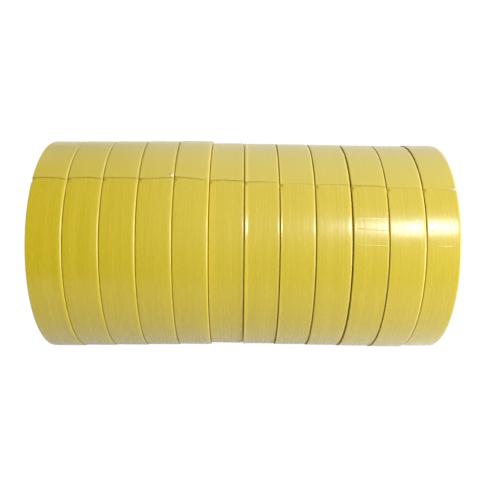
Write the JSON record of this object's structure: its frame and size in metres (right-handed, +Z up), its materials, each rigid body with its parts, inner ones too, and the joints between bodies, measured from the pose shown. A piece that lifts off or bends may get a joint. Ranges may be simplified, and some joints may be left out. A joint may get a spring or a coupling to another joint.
{
  "type": "masking tape rolls",
  "caption": "Row of identical masking tape rolls lying rim to floor, each a paper core wound with crepe paper tape, with a tail that peels and rolls that slide apart.",
  "frame": {"origin": "on the floor under the middle of the row of rolls", "axes": "+X along the row and the rolls' common direction, +Z up, -Y the side the cut tape ends face"},
  "size_m": [0.217, 0.1214, 0.1195],
  "materials": {
    "tape": "yellow crepe paper, semi-gloss release coat, fine streaks along the tape",
    "core": "spiral-wound grey-brown paperboard, matt"
  },
  "bodies": {
    "roll_01": {"roll_01_core": "core", "roll_01_tape": "tape"},
    "roll_02": {"roll_02_core": "core", "roll_02_tape": "tape"},
    "roll_03": {"roll_03_core": "core", "roll_03_tape": "tape"},
    "roll_04": {"roll_04_core": "core", "roll_04_tape": "tape"},
    "roll_05": {"roll_05_core": "core", "roll_05_tape": "tape"},
    "roll_06": {"roll_06_core": "core", "roll_06_tape": "tape"},
    "roll_07": {"roll_07_core": "core", "roll_07_tape": "tape"},
    "roll_08": {"roll_08_core": "core", "roll_08_tape": "tape"},
    "roll_09": {"roll_09_core": "core", "roll_09_tape": "tape"},
    "roll_10": {"roll_10_core": "core", "roll_10_tape": "tape"},
    "roll_11": {"roll_11_core": "core", "roll_11_tape": "tape"},
    "roll_12": {"roll_12_core": "core", "roll_12_tape": "tape"},
    "tail_01": {"roll_01_tail": "tape"},
    "tail_02": {"roll_02_tail": "tape"},
    "tail_03": {"roll_03_tail": "tape"},
    "tail_04": {"roll_04_tail": "tape"},
    "tail_05": {"roll_05_tail": "tape"},
    "tail_06": {"roll_06_tail": "tape"},
    "tail_07": {"roll_07_tail": "tape"},
    "tail_08": {"roll_08_tail": "tape"},
    "tail_09": {"roll_09_tail": "tape"},
    "tail_10": {"roll_10_tail": "tape"},
    "tail_11": {"roll_11_tail": "tape"},
    "tail_12": {"roll_12_tail": "tape"}
  },
  "joints": [
    {"name": "roll_05_slide", "type": "slide", "parent": "roll_06", "child": "roll_05", "axis": [-1, 0, 0], "range_m": [0, 0.018]},
    {"name": "roll_04_slide", "type": "slide", "parent": "roll_05", "child": "roll_04", "axis": [-1, 0, 0], "range_m": [0, 0.018]},
    {"name": "roll_03_slide", "type": "slide", "parent": "roll_04", "child": "roll_03", "axis": [-1, 0, 0], "range_m": [0, 0.018]},
    {"name": "roll_02_slide", "type": "slide", "parent": "roll_03", "child": "roll_02", "axis": [-1, 0, 0], "range_m": [0, 0.018]},
    {"name": "roll_01_slide", "type": "slide", "parent": "roll_02", "child": "roll_01", "axis": [-1, 0, 0], "range_m": [0, 0.018]},
    {"name": "roll_07_slide", "type": "slide", "parent": "roll_06", "child": "roll_07", "axis": [1, 0, 0], "range_m": [0, 0.018]},
    {"name": "roll_08_slide", "type": "slide", "parent": "roll_07", "child": "roll_08", "axis": [1, 0, 0], "range_m": [0, 0.018]},
    {"name": "roll_09_slide", "type": "slide", "parent": "roll_08", "child": "roll_09", "axis": [1, 0, 0], "range_m": [0, 0.018]},
    {"name": "roll_10_slide", "type": "slide", "parent": "roll_09", "child": "roll_10", "axis": [1, 0, 0], "range_m": [0, 0.018]},
    {"name": "roll_11_slide", "type": "slide", "parent": "roll_10", "child": "roll_11", "axis": [1, 0, 0], "range_m": [0, 0.018]},
    {"name": "roll_12_slide", "type": "slide", "parent": "roll_11", "child": "roll_12", "axis": [1, 0, 0], "range_m": [0, 0.018]},
    {"name": "tail_01_peel", "type": "hinge", "parent": "roll_01", "child": "tail_01", "pos_m": [-0.09955, 0.03815, 0.10494], "axis": [-1, 0, 0], "range_deg": [0, 50]},
    {"name": "tail_02_peel", "type": "hinge", "parent": "roll_02", "child": "tail_02", "pos_m": [-0.08145, 0.03856, 0.10498], "axis": [-1, 0, 0], "range_deg": [0, 50]},
    {"name": "tail_03_peel", "type": "hinge", "parent": "roll_03", "child": "tail_03", "pos_m": [-0.06335, 0.03896, 0.10502], "axis": [-1, 0, 0], "range_deg": [0, 50]},
    {"name": "tail_04_peel", "type": "hinge", "parent": "roll_04", "child": "tail_04", "pos_m": [-0.04525, 0.03936, 0.10506], "axis": [-1, 0, 0], "range_deg": [0, 50]},
    {"name": "tail_05_peel", "type": "hinge", "parent": "roll_05", "child": "tail_05", "pos_m": [-0.02715, 0.03976, 0.1051], "axis": [-1, 0, 0], "range_deg": [0, 50]},
    {"name": "tail_06_peel", "type": "hinge", "parent": "roll_06", "child": "tail_06", "pos_m": [-0.00905, 0.0397, 0.10407], "axis": [-1, 0, 0], "range_deg": [0, 50]},
    {"name": "tail_07_peel", "type": "hinge", "parent": "roll_07", "child": "tail_07", "pos_m": [0.00905, 0.03889, 0.10443], "axis": [-1, 0, 0], "range_deg": [0, 50]},
    {"name": "tail_08_peel", "type": "hinge", "parent": "roll_08", "child": "tail_08", "pos_m": [0.02715, 0.03807, 0.10479], "axis": [-1, 0, 0], "range_deg": [0, 50]},
    {"name": "tail_09_peel", "type": "hinge", "parent": "roll_09", "child": "tail_09", "pos_m": [0.04525, 0.03725, 0.10515], "axis": [-1, 0, 0], "range_deg": [0, 50]},
    {"name": "tail_10_peel", "type": "hinge", "parent": "roll_10", "child": "tail_10", "pos_m": [0.06335, 0.03642, 0.1055], "axis": [-1, 0, 0], "range_deg": [0, 50]},
    {"name": "tail_11_peel", "type": "hinge", "parent": "roll_11", "child": "tail_11", "pos_m": [0.08145, 0.03559, 0.10584], "axis": [-1, 0, 0], "range_deg": [0, 50]},
    {"name": "tail_12_peel", "type": "hinge", "parent": "roll_12", "child": "tail_12", "pos_m": [0.09955, 0.03586, 0.10618], "axis": [-1, 0, 0], "range_deg": [0, 50]}
  ]
}
